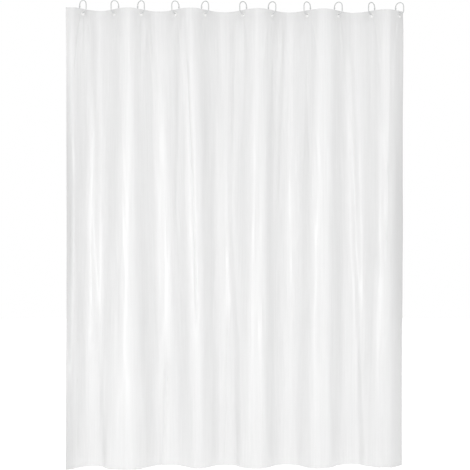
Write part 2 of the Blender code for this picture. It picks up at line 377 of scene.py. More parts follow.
def shell(name, u, z, front, back, material, settings, holes=()):
    """A thin closed wall between two distances behind the middle surface. holes are grid corners that
    are left out with the faces around them."""
    layers = sheet_points(u, z, (front, back), settings)
    corners = np.concatenate([layer.reshape(-1, 3) for layer in layers])
    grid = np.arange(u.size).reshape(u.shape)
    left_out = [int(grid[hole]) for hole in holes]
    quads = np.stack([grid[:-1, :-1], grid[1:, :-1], grid[1:, 1:], grid[:-1, 1:]], axis=-1).reshape(-1, 4)
    quads = quads[~np.isin(quads, left_out).any(axis=1)]
    triangles = np.concatenate([quads[:, [0, 1, 2]], quads[:, [0, 2, 3]]])
    sides = np.concatenate([triangles[:, [0, 1]], triangles[:, [1, 2]], triangles[:, [2, 0]]])
    keys = np.sort(sides, axis=1) @ [u.size, 1]
    _, first, count = np.unique(keys, return_index=True, return_counts=True)
    rim = sides[first[count == 1]]
    walls = np.stack([rim[:, 1], rim[:, 0], rim[:, 0] + u.size], axis=1)
    wall_backs = np.stack([rim[:, 1], rim[:, 0] + u.size, rim[:, 1] + u.size], axis=1)
    faces = np.concatenate([triangles, triangles[:, ::-1] + u.size, walls, wall_backs])
    used, faces = np.unique(faces, return_inverse=True)
    mesh = bpy.data.meshes.new(name)
    mesh.from_pydata(corners[used].tolist(), [], faces.reshape(-1, 3).tolist())
    flat = np.stack([distance_along(u), z - SHEET_LOW.z], axis=-1).reshape(-1, 2)
    flat = np.concatenate([flat, flat])[used]
    layer = mesh.uv_layers.new(name="sheet")
    layer.data.foreach_set("uv", flat[faces.reshape(-1)].astype(np.float32).ravel())
    return link_mesh(name, mesh, material, sharp_degrees=60)


def column_line(start=0.0, end=LAST_U):
    """u from start to end, with the sheet's own columns between."""
    columns = np.arange((RING_COUNT + 1) * COLUMNS_PER_FOLD + 1) / COLUMNS_PER_FOLD
    clear = 0.3 / COLUMNS_PER_FOLD
    inside = columns[(columns > start + clear) & (columns < end - clear)]
    return np.concatenate([[start], inside, [end]])


def header_line():
    """Heights of the header's rows, top to bottom, with one through the middle of the eyelets."""
    rows = np.linspace(SHEET_HIGH.z, HEADER_FOOT, HEADER_ROWS + 1)
    rows[np.argmin(np.abs(rows - EYELET_Z))] = EYELET_Z
    return rows


def hem_line():
    return np.linspace(HEM_TOP, SHEET_LOW.z, HEM_ROWS + 1)


def row_line():
    """Heights of all the sheet's rows, top to bottom."""
    upper = np.linspace(HEADER_FOOT, UPPER_FOOT, UPPER_ROWS + 1)[1:]
    lower = np.linspace(UPPER_FOOT, HEM_TOP, LOWER_ROWS + 1)[1:]
    return np.concatenate([header_line(), upper, lower, hem_line()[1:]])


HOLE_REACH, HOLE_RIM = 0.98, 0.72  # shares of a flange's radius: how far points move, and the hole's rim


def open_the_holes(u, z):
    """Moves the grid's points out of each eyelet's barrel, and says which corners to leave out."""
    reach, rim = FLANGE_RADIUS * HOLE_REACH, FLANGE_RADIUS * HOLE_RIM
    holes = []
    for index in range(RING_COUNT):
        along, up, scale = from_eyelet(u, z, index)
        away = np.hypot(along, up)
        holes.append(np.unravel_index(np.argmin(away), away.shape))
        near = (away < reach) & (away > 1e-9)
        grow = np.where(near, (rim / np.where(near, away, 1.0) + (reach - rim) / reach), 1.0)
        u = np.where(near, 1 + index + along * grow / scale, u)
        z = np.where(near, EYELET_Z + up * grow, z)
    return u, z, holes


def arc(centre, radius, start, end, steps):
    """Points of a round stretch of an outline, with angles in degrees."""
    angles = [math.radians(start + (end - start) * step / steps) for step in range(steps + 1)]
    return [(centre[0] + radius * math.cos(a), centre[1] + radius * math.sin(a)) for a in angles]


def turned(name, profile, segments, placing, material):
    """A closed ring turned about Z from a closed profile of (radius, height) points, then placed."""
    bm = bmesh.new()
    turns = []
    for step in range(segments):
        angle = 2 * math.pi * step / segments
        turns.append([bm.verts.new((r * math.cos(angle), r * math.sin(angle), h)) for r, h in profile])
    for here, there in zip(turns, turns[1:] + turns[:1]):
        for index in range(len(profile)):
            after = (index + 1) % len(profile)
            bm.faces.new((here[index], there[index], there[after], here[after]))
    bmesh.ops.transform(bm, matrix=placing, verts=bm.verts)
    bmesh.ops.recalc_face_normals(bm, faces=bm.faces)
    mesh = bpy.data.meshes.new(name)
    bm.to_mesh(mesh)
    bm.free()
    return link_mesh(name, mesh, material, sharp_degrees=40)


# ------------------------------------------------------------ Geometry Nodes


class Tree:
    """A Geometry Nodes tree, with one method that makes its nodes."""

    def __init__(self, name, inputs):
        self.tree = bpy.data.node_groups.new(name, "GeometryNodeTree")
        self.sockets = {}
        self.tree.interface.new_socket("Geometry", in_out="INPUT", socket_type="NodeSocketGeometry")
        for label, kind in inputs:
            made = self.tree.interface.new_socket(label, in_out="INPUT", socket_type=kind)
            self.sockets[label] = made.identifier
        self.tree.interface.new_socket("Geometry", in_out="OUTPUT", socket_type="NodeSocketGeometry")
        self.source = self.tree.nodes.new("NodeGroupInput")

    def node(self, kind, settings=None, inputs=None):
        """Makes a node, sets it, then feeds its sockets with values or with another node's sockets."""
        made = self.tree.nodes.new(kind)
        for name, value in (settings or {}).items():
            setattr(made, name, value)
        for socket, value in (inputs or {}).items():
            if isinstance(value, bpy.types.NodeSocket):
                self.tree.links.new(value, made.inputs[socket])
            else:
                made.inputs[socket].default_value = value
        return made.outputs

    def given(self, label):
        return self.source.outputs[label]

    def end(self, geometry):
        """Realizes the instances, sets the finish and closes the tree."""
        real = self.node("GeometryNodeRealizeInstances", inputs={"Geometry": geometry})[0]
        finish = {"Geometry": real, "Material": self.given("Finish")}
        finished = self.node("GeometryNodeSetMaterial", inputs=finish)[0]
        out = self.tree.nodes.new("NodeGroupOutput")
        self.tree.links.new(finished, out.inputs["Geometry"])

    def make(self, name, guide, sharp_degrees, **values):
        """Runs the tree on a guide mesh and leaves a plain mesh object."""
        obj = bpy.data.objects.new(name, guide)
        bpy.context.scene.collection.objects.link(obj)
        modifier = obj.modifiers.new("nodes", "NODES")
        modifier.node_group = self.tree
        for label, value in values.items():
            modifier[self.sockets[label.replace("_", " ").title()]] = value
        graph = bpy.context.evaluated_depsgraph_get()
        mesh = bpy.data.meshes.new_from_object(obj.evaluated_get(graph))
        mesh.name = name
        material = values["finish"]
        bpy.data.objects.remove(obj)
        return link_mesh(name, mesh, material, sharp_degrees)


def swept_bar_tree():
    """Sweeps a round bar along the guide. Each guide point's bar_radius is the bar's radius there, and
    a fine parting line stands out along two sides."""
    floats = [("Parting Line", "NodeSocketFloat")]
    ints = [("Sides", "NodeSocketInt")]
    places = [("Place", "NodeSocketVector"), ("Turn", "NodeSocketRotation")]
    tree = Tree("Swept Bar", floats + ints + places + [("Finish", "NodeSocketMaterial")])
    path = tree.node("GeometryNodeMeshToCurve", inputs={"Mesh": tree.given("Geometry")})[0]
    circle_inputs = {"Resolution": tree.given("Sides"), "Radius": 1.0}
    circle = tree.node("GeometryNodeCurvePrimitiveCircle", inputs=circle_inputs)[0]
    half = tree.node("ShaderNodeMath", {"operation": "DIVIDE"}, {0: tree.given("Sides"), 1: 2.0})[0]
    index = tree.node("GeometryNodeInputIndex")[0]
    spot = tree.node("ShaderNodeMath", {"operation": "MODULO"}, {0: index, 1: half})[0]
    on_line = tree.node("ShaderNodeMath", {"operation": "LESS_THAN"}, {0: spot, 1: 0.5})[0]
    height_inputs = {0: on_line, 1: tree.given("Parting Line")}
    height = tree.node("ShaderNodeMath", {"operation": "MULTIPLY"}, height_inputs)[0]
    position = tree.node("GeometryNodeInputPosition")[0]
    lift = tree.node("ShaderNodeVectorMath", {"operation": "SCALE"}, {0: position, "Scale": height})[0]
    profile = tree.node("GeometryNodeSetPosition", inputs={"Geometry": circle, "Offset": lift})[0]
    radius = tree.node("GeometryNodeInputNamedAttribute", {"data_type": "FLOAT"}, {"Name": "bar_radius"})[0]
    sweep = {"Curve": path, "Profile Curve": profile, "Scale": radius, "Fill Caps": True}
    bar = tree.node("GeometryNodeCurveToMesh", inputs=sweep)[0]
    placing = {"Geometry": bar, "Translation": tree.given("Place"), "Rotation": tree.given("Turn")}
    tree.end(tree.node("GeometryNodeTransform", inputs=placing)[0])
    return tree


def weld_tree():
    """Sets short weld beads end to end along the guide's lines."""
    sizes = [(label, "NodeSocketFloat") for label in ("Spacing", "Bead Length", "Bead Radius")]
    tree = Tree("Weld Beads", sizes + [("Finish", "NodeSocketMaterial")])
    path = tree.node("GeometryNodeMeshToCurve", inputs={"Mesh": tree.given("Geometry")})[0]
    even = {"Curve": path, "Length": tree.given("Spacing")}
    points = tree.node("GeometryNodeCurveToPoints", {"mode": "LENGTH"}, even)
    ball_inputs = {"Segments": 6, "Rings": 4, "Radius": tree.given("Bead Radius")}
    ball = tree.node("GeometryNodeMeshUVSphere", inputs=ball_inputs)["Mesh"]
    ratio_inputs = {0: tree.given("Bead Length"), 1: tree.given("Bead Radius")}
    ratio = tree.node("ShaderNodeMath", {"operation": "DIVIDE"}, ratio_inputs)[0]
    half = tree.node("ShaderNodeMath", {"operation": "DIVIDE"}, {0: ratio, 1: 2.0})[0]
    stretch = tree.node("ShaderNodeCombineXYZ", inputs={"X": 1.0, "Y": 1.0, "Z": half})[0]
    bead = tree.node("GeometryNodeTransform", inputs={"Geometry": ball, "Scale": stretch})[0]
    beads_inputs = {"Points": points["Points"], "Instance": bead, "Rotation": points["Rotation"]}
    tree.end(tree.node("GeometryNodeInstanceOnPoints", inputs=beads_inputs)[0])
    return tree


# ------------------------------------------------------------ materials


class Value:
    """A shader socket that sums can be written on."""

    def __init__(self, finish, socket):
        self.finish = finish
        self.socket = socket

    def _math(self, operation, first, second):
        return self.finish.node("ShaderNodeMath", {"operation": operation}, {0: first, 1: second})

    def __add__(self, other):
        return self._math("ADD", self, other)

    def __radd__(self, other):
        return self._math("ADD", other, self)

    def __sub__(self, other):
        return self._math("SUBTRACT", self, other)

    def __rsub__(self, other):
        return self._math("SUBTRACT", other, self)

    def __mul__(self, other):
        return self._math("MULTIPLY", self, other)

    def __rmul__(self, other):
        return self._math("MULTIPLY", other, self)


class Finish:
    """A material around one Principled shader. Constants go straight onto the shader's sockets."""

    def __init__(self, name, colour, roughness, constants):
        self.material = bpy.data.materials.new(name)
        self.material.use_nodes = True
        self.tree = self.material.node_tree
        self.shader = self.tree.nodes["Principled BSDF"]
        self.feed(self.shader, {"Base Color": (*colour, 1.0), "Roughness": roughness})
        self.feed(self.shader, constants)
        self.material.diffuse_color = (*colour, constants.get("Alpha", 1.0))

    def feed(self, node, inputs):
        for socket, value in inputs.items():
            if isinstance(value, Value):
                self.tree.links.new(value.socket, node.inputs[socket])
            else:
                node.inputs[socket].default_value = value

    def node(self, kind, settings=None, inputs=None, output=0):
        """Makes a node, sets it, then feeds its sockets with values or links."""
        made = self.tree.nodes.new(kind)
        for name, value in (settings or {}).items():
            setattr(made, name, value)
        self.feed(made, inputs or {})
        return Value(self, made.outputs[output])

    def place(self, source, scale, turn=(0.0, 0.0, 0.0)):
        """Texture coordinates, stretched by scale and turned."""
        coordinates = self.node("ShaderNodeTexCoord", output=source)
        inputs = {"Vector": coordinates, "Scale": scale, "Rotation": turn}
        return self.node("ShaderNodeMapping", inputs=inputs)

    def noise(self, place, scale, detail=3.0, roughness=0.5, distortion=0.0):
        inputs = {"Vector": place, "Scale": scale, "Detail": detail}
        inputs.update({"Roughness": roughness, "Distortion": distortion})
        return self.node("ShaderNodeTexNoise", inputs=inputs)

    def mix(self, factor, first, second):
        """A colour between two colours, each of them a value or three numbers."""
        first, second = (c if isinstance(c, Value) else (*c, 1.0) for c in (first, second))
        inputs = {"Factor": factor, 6: first, 7: second}
        return self.node("ShaderNodeMix", {"data_type": "RGBA", "clamp_factor": True}, inputs, output=2)

    def ramp(self, value, start, end):
        """0 up to start and 1 from end, with a smooth run between them. The end may come first."""
        inputs = {"Value": value, "From Min": start, "From Max": end}
        return self.node("ShaderNodeMapRange", {"interpolation_type": "SMOOTHSTEP"}, inputs)

    def bump(self, height, distance, strength=1.0):
        inputs = {"Height": height, "Distance": distance, "Strength": strength}
        self.feed(self.shader, {"Normal": self.node("ShaderNodeBump", inputs=inputs)})


def darker(colour, share):
    return tuple(channel * share for channel in colour)


# Where painted shade darkens the sheet's colour, in metres: in from each side edge and past it, and up the
# sheet
LEFT_PAINTED_SHADE, RIGHT_PAINTED_SHADE = (0.100, -0.02), (0.235, 0.09)
LOW_PAINTED_SHADE, TOP_PAINTED_SHADE = (1.98, 1.15), (1.78, 1.96)
# How strong the painted shade is along the top's side edges and along the whole top
TOP_SIDE_SHARE, TOP_SHARE = 0.28, 0.12  # how grey the top's side edges and the whole top are


def painted_edge_shade(finish, flat):
    """How much painted shade darkens the sheet's colour: 1 at its two free side edges low down, and a little
    along its top.
    """
    width = float(distance_along(LAST_U))
    along = finish.node("ShaderNodeSeparateXYZ", inputs={"Vector": flat}, output=0)
    up = finish.node("ShaderNodeSeparateXYZ", inputs={"Vector": flat}, output=1)
    left_in, left_out = LEFT_PAINTED_SHADE
    right_in, right_out = RIGHT_PAINTED_SHADE
    sides = finish.ramp(along, left_in, left_out) + finish.ramp(along, width - right_in, width + right_out)
    low, high = finish.ramp(up, *LOW_PAINTED_SHADE), finish.ramp(up, *TOP_PAINTED_SHADE)
    return sides * (low + high * TOP_SIDE_SHARE) + high * TOP_SHARE


def frosted_film(settings):
    """Soft frosted sheet: cloudy, with fine drawn streaks down it, painted shade and highlight on its fine
    crinkle, and a grain too fine to see one by one.
    """
    gloss = {"Alpha": settings.cover, "IOR": 1.48, "Coat Weight": 0.45, "Coat Roughness": 0.16}
    finish = Finish("frosted_sheet", settings.colour, 0.36, gloss)
    flat = finish.place("UV", (1.0, 1.0, 1.0))
    drawn = finish.place("UV", (26.0, 0.9, 1.0))
    fine = finish.place("UV", (150.0, 4.0, 1.0))
    cloud = finish.noise(flat, 2.6, detail=4.0)
    streak = finish.noise(drawn, 1.0, detail=3.0)
    crinkle = finish.noise(fine, 1.0, detail=2.0, distortion=0.3)
    frost = finish.noise(flat, 700.0, detail=2.0)
    # Partly the film's own random cloudiness and drawn streaks, partly painted shade and highlight: the
    # crinkle term darkens the dips and lightens the crests of the fine crinkle that the bump below also
    # makes.
    shade = cloud * 0.5 + streak * 1.1 + crinkle * 0.9 - 0.75
    colour = finish.mix(shade, darker(settings.colour, 0.94), darker(settings.colour, 1.03))
    # Painted shade: the side edges low down and the top are mixed towards the darker edge-shade colour.
    colour = finish.mix(painted_edge_shade(finish, flat), colour, darker(settings.colour, settings.edge_shade))
    finish.feed(finish.shader, {"Base Color": colour, "Roughness": 0.28 + cloud * 0.08 + streak * 0.10})
    dents = finish.noise(flat, 14.0, detail=3.0, distortion=0.8)
    finish.bump(crinkle * 0.9 + dents * 1.2 + frost * 0.05, 0.0016, 0.7)
    return finish.material


def welded_film(settings):
    """The doubled edge of the sheet: denser, with the welding bar's fine crosswise ribs pressed in."""
    colour = darker(settings.colour, settings.strip_shade)
    gloss = {"Alpha": settings.cover, "IOR": 1.48, "Coat Weight": 0.2, "Coat Roughness": 0.22}
    finish = Finish("welded_strip", colour, 0.34, gloss)
    ribs_inputs = {"Vector": finish.place("UV", (1.0, 1.0, 1.0)), "Scale": 110.0, "Distortion": 0.4}
    ribs = finish.node("ShaderNodeTexWave", {"wave_type": "BANDS", "bands_direction": "X"}, ribs_inputs, 1)
    cloud = finish.noise(finish.place("UV", (1.0, 1.0, 1.0)), 9.0)
    finish.feed(finish.shader, {"Base Color": finish.mix(cloud, darker(colour, 0.95), colour)})
    finish.feed(finish.shader, {"Roughness": 0.28 + cloud * 0.14})
    finish.bump(ribs * 0.6 + cloud * 0.4, 0.0003, 0.5)
    return finish.material


def moulded_plastic(name, colour, roughness):
    """Gloss moulded plastic, with the faint flow marks and scuffs of a small cheap moulding."""
    gloss = {"IOR": 1.50, "Coat Weight": 0.3, "Coat Roughness": 0.12}
    finish = Finish(name, colour, roughness, gloss)
    plain = finish.place("Object", (1.0, 1.0, 1.0))
    flow = finish.noise(finish.place("Object", (1.0, 1.0, 0.35)), 70.0, detail=3.0, distortion=0.6)
    scuff = finish.noise(plain, 520.0, detail=4.0, roughness=0.6)
    grain = finish.noise(plain, 1500.0, detail=2.0)
    finish.feed(finish.shader, {"Base Color": finish.mix(flow, darker(colour, 0.93), colour)})
    finish.feed(finish.shader, {"Roughness": roughness - 0.06 + scuff * 0.16})
    finish.bump(flow * 0.7 + grain * 0.3, 0.0001, 0.35)
    return finish.material


def floor_paint(settings):
    finish = Finish("pale_floor", settings.floor_colour, 0.9, {"Emission Strength": settings.floor_glow})
    mottle = finish.noise(finish.place("Object", (1.0, 1.0, 1.0)), 1.5)
    colour = finish.mix(mottle, darker(settings.floor_colour, 0.985), settings.floor_colour)
    finish.feed(finish.shader, {"Base Color": colour, "Emission Color": (1.0, 1.0, 1.0, 1.0)})
    return finish.material


# ------------------------------------------------------------ settings


class CurtainSheetSettings(bpy.types.PropertyGroup):
    crease_depth: FloatProperty(
        name="Crease depth",
        description="How deep the creases are, as a share of their usual depth",
        default=1.35,
        min=0.0,
        subtype="FACTOR",
    )
    ripple_depth: FloatProperty(
        name="Ripple depth",
        description="How deep the fine ripples are, as a share of their usual depth",
        default=1.0,
        min=0.0,
        subtype="FACTOR",
    )
    colour: FloatVectorProperty(
        name="Film colour",
        description="Colour of the frosted film",
        default=(0.855, 0.855, 0.855),
        size=3,
        subtype="COLOR",
    )
    cover: FloatProperty(
        name="Cover",
        description="How much each side of the film hides what is behind it",
        default=0.9,
        min=0.0,
        max=1.0,
        subtype="FACTOR",
    )
    # Colour of the painted shade at the side edges and along the top, as a share of the film's.
    edge_shade: FloatProperty(
        name="Edge shade",
        description="The greyed side edges' colour, as a share of the film's",
        default=0.78,
        min=0.0,
        max=1.0,
        subtype="FACTOR",
    )
    strip_shade: FloatProperty(
        name="Strip shade",
        description="The welded strips' colour, as a share of the film's",
        default=0.93,
        min=0.0,
        max=1.0,
        subtype="FACTOR",
    )
    bead_spacing: FloatProperty(
        name="Bead spacing",
        description="Distance between weld beads",
        default=0.009,
        unit="LENGTH",
    )
    bead_length: FloatProperty(
        name="Bead length",
        description="Length of one weld bead",
        default=0.0062,
        unit="LENGTH",
    )
    bead_radius: FloatProperty(
        name="Bead radius",
        description="Radius of a weld bead, which shows a little on both sides of the film",
        default=0.00048,
        unit="LENGTH",
    )
    weld_margin: FloatProperty(
        name="Weld margin",
        description="Distance of a line of weld from the edge of its strip",
        default=0.0028,
        unit="LENGTH",
    )


class CurtainEyeletSettings(bpy.types.PropertyGroup):
    bore_radius: FloatProperty(
        name="Bore radius",
        description="Radius of the hole that a ring passes through",
        default=0.006,
        unit="LENGTH",
    )
    wall: FloatProperty(
        name="Barrel wall",
        description="Wall of the barrel through the film",
        default=0.0007,
        unit="LENGTH",
    )
    flange_radius: FloatProperty(
        name="Flange radius",
        description="Outer radius of both flanges",
        default=FLANGE_RADIUS,
        unit="LENGTH",
    )
    flange_thickness: FloatProperty(
        name="Flange thickness",
        description="Thickness of each flange",
        default=0.001,
        unit="LENGTH",
    )
    segments: IntProperty(
        name="Segments",
        description="Steps round an eyelet",
        default=56,
        min=12,
    )
    colour: FloatVectorProperty(
        name="Eyelet colour",
        description="Colour of the eyelets",
        default=(0.86, 0.86, 0.85),
        size=3,
        subtype="COLOR",
    )


class CurtainRingSettings(bpy.types.PropertyGroup):
    height: FloatProperty(name="Height", description="Height of a ring", default=0.060, unit="LENGTH")
    width: FloatProperty(name="Width", description="Width of a ring", default=0.044, unit="LENGTH")
    wire_radius: FloatProperty(
        name="Bar radius",
        description="Radius of the ring's bar",
        default=0.0025,
        unit="LENGTH",
    )
    socket_radius: FloatProperty(
        name="Socket radius",
        description="Outer radius of the socket that the peg snaps into",
        default=0.0034,
        unit="LENGTH",
    )
    yaw: FloatProperty(
        name="Yaw",
        description="Turn of the ring from the rod's line",
        default=math.radians(38.0),
        unit="ROTATION",
    )
    sides: IntProperty(name="Sides", description="Sides of the round bar", default=28, min=8)
    parting_line: FloatProperty(
        name="Parting line",
        description="Height of the mould's line, as a share of the bar's radius",
        default=0.035,
        min=0.0,
        subtype="FACTOR",
    )
    colour: FloatVectorProperty(
        name="Ring colour",
        description="Colour of the rings",
        default=(0.62, 0.63, 0.63),
        size=3,
        subtype="COLOR",
    )


class CurtainStageSettings(bpy.types.PropertyGroup):
    distance: FloatProperty(
        name="Camera distance",
        description="Distance from the camera to the curtain",
        default=4.5,
        unit="LENGTH",
    )
    height: FloatProperty(
        name="Camera height",
        description="Height of the camera, from the top of the rod",
        default=-1.019,
        unit="LENGTH",
    )
    aim: FloatProperty(
        name="Camera aim",
        description="The place along the rod that the camera looks at",
        default=-0.0065,
        unit="LENGTH",
    )
    yaw: FloatProperty(
        name="Camera yaw",
        description="How far to the left of square the camera stands",
        default=math.radians(1.85),
        unit="ROTATION",
    )
    lens: FloatProperty(
        name="Lens",
        description="Focal length in millimetres, on a 36 mm sensor",
        default=78.8,
    )
    floor_height: FloatProperty(
        name="Floor height",
        description="Height of the floor, from the top of the rod",
        default=SHEET_LOW.z - 0.06,
        unit="LENGTH",
    )
    floor_colour: FloatVectorProperty(
        name="Floor colour",
        description="Colour of the floor",
        default=(0.95, 0.95, 0.95),
        size=3,
        subtype="COLOR",
    )
    floor_glow: FloatProperty(
        name="Floor glow",
        description="Light that the floor gives off, which keeps it as pale as the background",
        default=0.25,
        min=0.0,
    )
    fill_strength: FloatProperty(
        name="Fill strength",
        description="Strength of the even light from all round",
        default=1.10,
        min=0.0,
    )
    side_shade: FloatProperty(
        name="Side shade",
        description="How much less even light comes from the two sides",
        default=0.6,
        min=0.0,
        max=1.0,
        subtype="FACTOR",
    )
    key_power: FloatProperty(
        name="Key power",
        description="Power of the main soft light",
        default=24.0,
        min=0.0,
        unit="POWER",
    )


# ------------------------------------------------------------ making the pieces


def follow_gather(obj, body, anchor_x):
    """Rides a soft piece on its body and gives it a mesh of its own."""
    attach(obj, body)
    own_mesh(obj)


def body_of_node(node):
    bodies = frame["record"]["behaviour"]["bodies"]
    return next(body for body, nodes in bodies.items() if node in nodes)


def film_finishes(settings):
    """The sheet's two finishes, made once."""
    made = bpy.data.materials
    frosted = made.get("frosted_sheet_film") or frosted_film(settings)
    welded = made.get("welded_strip_film") or welded_film(settings)
    frosted.name, welded.name = "frosted_sheet_film", "welded_strip_film"
    return frosted, welded


def weld_guide(name, lines, settings):
    """A mesh of open lines on the sheet, midway between the film and the strip behind it."""
    points, edges = [], []
    depth = (FRONT_OF_STRIP + BACK_OF_SHEET) / 2
    for u, z in lines:
        line = sheet_points(u[None, :], z[None, :], (depth,), settings)[0][0]
        first = len(points)
        points += line.tolist()
        edges += [(first + step, first + step + 1) for step in range(len(line) - 1)]
    mesh = bpy.data.meshes.new(name)
    mesh.from_pydata(points, edges, [])
    return mesh


def make_welds(name, lines, body, anchor_x, settings):
    _, welded = film_finishes(settings)
    guide = weld_guide(name + "_guide", lines, settings)
    sizes = {"spacing": settings.bead_spacing, "bead_length": settings.bead_length}
    welds = weld_tree().make(
        name, guide, sharp_degrees=80, bead_radius=settings.bead_radius, finish=welded, **sizes
    )
    follow_gather(welds, body, anchor_x)


def level_line(z, settings):
    margin = settings.weld_margin / pitches(0)[0]
    u = column_line(margin, LAST_U - settings.weld_margin / RETURN_LENGTH)
    return u, np.full_like(u, z)


def side_hem_span():
    """u at the inner edge of the left hem, and at the inner edge of the right one."""
    left_end = SIDE_HEM_WIDTH * math.cos(FOLD_SLOPE / 2) / (RING_X[0] - SHEET_LOW.x)
    return left_end, LAST_U - SIDE_HEM_WIDTH / RETURN_LENGTH


def side_rows():
    rows = row_line()
    inside = rows[(rows < SIDE_HEM_TOP - 1e-3) & (rows > SIDE_HEM_FOOT + 1e-3)]
    return np.concatenate([[SIDE_HEM_TOP], inside, [SIDE_HEM_FOOT]])


class CURTAIN_OT_sheet(bpy.types.Operator):
    """Make the frosted sheet with its folds, creases and eyelet holes"""

    bl_idname = "curtain.sheet"
    bl_label = "Sheet"

    def execute(self, context):
        settings = context.scene.curtain_sheet
        frosted, _ = film_finishes(settings)
        u, z, holes = open_the_holes(*np.meshgrid(column_line(), row_line()))
        sheet = shell("sheet", u, z, -BACK_OF_SHEET, BACK_OF_SHEET, frosted, settings, holes)
        follow_gather(sheet, CURTAIN_BODY, RING_X[0])
        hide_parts("curtain_sheet")
        return {"FINISHED"}


class CURTAIN_OT_strips(bpy.types.Operator):
    """Make the welded header band, the hems and their lines of weld"""

    bl_idname = "curtain.strips"
    bl_label = "Header and hems"

    def execute(self, context):
        settings = context.scene.curtain_sheet
        self.level_strips(settings)
        self.side_strips(settings)
        return {"FINISHED"}

    def strip(self, name, node, u, z, settings, holes=()):
        _, welded = film_finishes(settings)
        strip = shell(name, u, z, FRONT_OF_STRIP, BACK_OF_STRIP, welded, settings, holes)
        body = body_of_node(node)
        follow_gather(strip, body, RING_X[-1] if body == LAST_SLIDER else RING_X[0])
        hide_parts(node)

    def level_strips(self, settings):
        u, z, holes = open_the_holes(*np.meshgrid(column_line(), header_line()))
        self.strip("header", "header_band", u, z, settings, holes)
        u, z = np.meshgrid(column_line(), hem_line())
        self.strip("foot_hem", "bottom_hem", u, z, settings)
        edge = settings.weld_margin
        lines = [level_line(SHEET_HIGH.z - edge, settings), level_line(HEADER_FOOT + edge, settings)]
        make_welds("header_welds", lines, CURTAIN_BODY, RING_X[0], settings)
        lines = [level_line(HEM_TOP - edge, settings), level_line(SHEET_LOW.z + edge, settings)]
        make_welds("foot_welds", lines, CURTAIN_BODY, RING_X[0], settings)

    def side_strips(self, settings):
        left_end, right_start = side_hem_span()
        rows = side_rows()
        left = np.linspace(0.0, left_end, 4)
        self.strip("left_side_hem", "left_hem", *np.meshgrid(left, rows), settings)
        right = np.linspace(right_start, LAST_U, 4)
        self.strip("right_side_hem", "right_hem", *np.meshgrid(right, rows), settings)
        inner = (left_end * 0.7, LAST_U - (LAST_U - right_start) * 0.7)
        sides = (("left_welds", CURTAIN_BODY, RING_X[0]), ("right_welds", LAST_SLIDER, RING_X[-1]))
        for (name, body, anchor_x), u in zip(sides, inner):
            line = [(np.full_like(rows, u), rows)]
            make_welds(name, line, body, anchor_x, settings)


BARREL_CHAMFER = 0.0002


class CURTAIN_OT_eyelets(bpy.types.Operator):
    """Make the eyelets: a flanged barrel from the front and a washer from the back at each ring"""

    bl_idname = "curtain.eyelets"
    bl_label = "Eyelets"

    def execute(self, context):
        settings = context.scene.curtain_eyelets
        material = moulded_plastic("eyelet_white_plastic", settings.colour, 0.30)
        for index, ring_x in enumerate(RING_X):
            slope = FOLD_SLOPE if index % 2 == 0 else -FOLD_SLOPE
            placing = Matrix.Translation((ring_x, 0.0, EYELET_Z))
            placing @= Matrix.Rotation(slope, 4, "Z") @ Matrix.Rotation(math.radians(-90), 4, "X")
            for side, profile in (("front", self.barrel(settings)), ("back", self.washer(settings))):
                node = numbered(f"eyelet_{side}", index)
                name = numbered(f"eyelet_{'barrel' if side == 'front' else 'washer'}", index)
                piece = turned(name, profile, settings.segments, placing, material)
                follow_gather(piece, body_of_node(node), ring_x)
                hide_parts(node)
        return {"FINISHED"}

    def barrel(self, settings):
        """The front flange with its rolled lip, and the barrel that goes through to the washer."""
        bore, rim, thick = settings.bore_radius, settings.flange_radius, settings.flange_thickness
        outer = bore + settings.wall
        seat = -BACK_OF_SHEET - LAYER_GAP
        face = seat - thick
        end = BACK_OF_STRIP + LAYER_GAP + thick
        lip, edge = thick * 0.5, thick * 0.45
        profile = arc((bore + lip, face + lip), lip, 180, 270, 5)
        profile += arc((rim - edge, face + edge), edge, 270, 360, 4)
        cut = BARREL_CHAMFER
        profile += [(rim, seat), (outer, seat), (outer, end - cut)]
        profile += [(outer - cut, end), (bore + cut, end), (bore, end - cut)]
        return profile

    def washer(self, settings):
        """The back flange, with a shallow dish between its rim and its hub."""
        hole = settings.bore_radius + settings.wall + LAYER_GAP
        rim, thick = settings.flange_radius, settings.flange_thickness
        seat = BACK_OF_STRIP + LAYER_GAP
        edge = thick * 0.45
        profile = [(hole, seat), (rim, seat)]
        profile += arc((rim - edge, seat + thick - edge), edge, 0, 90, 4)
        profile += [(rim - edge * 2, seat + thick * 0.82), (hole + edge * 2, seat + thick * 0.82)]
        profile += [(hole + edge, seat + thick), (hole, seat + thick)]
        return profile


PEG_RADIUS, PEG_LENGTH, PEG_CLEARANCE = 0.0015, 0.0032, 0.00035
PEG_TIP = 0.0004  # the peg's rounded tip, and as much again of the socket's bore beyond it
SOCKET_LENGTH, SOCKET_TAPER = 0.0052, 0.0016
SMALL_ROUND = 0.0003  # at the shoulders
SHARP_STEP = 1e-5  # along the bar, so that a step in its radius stays a step


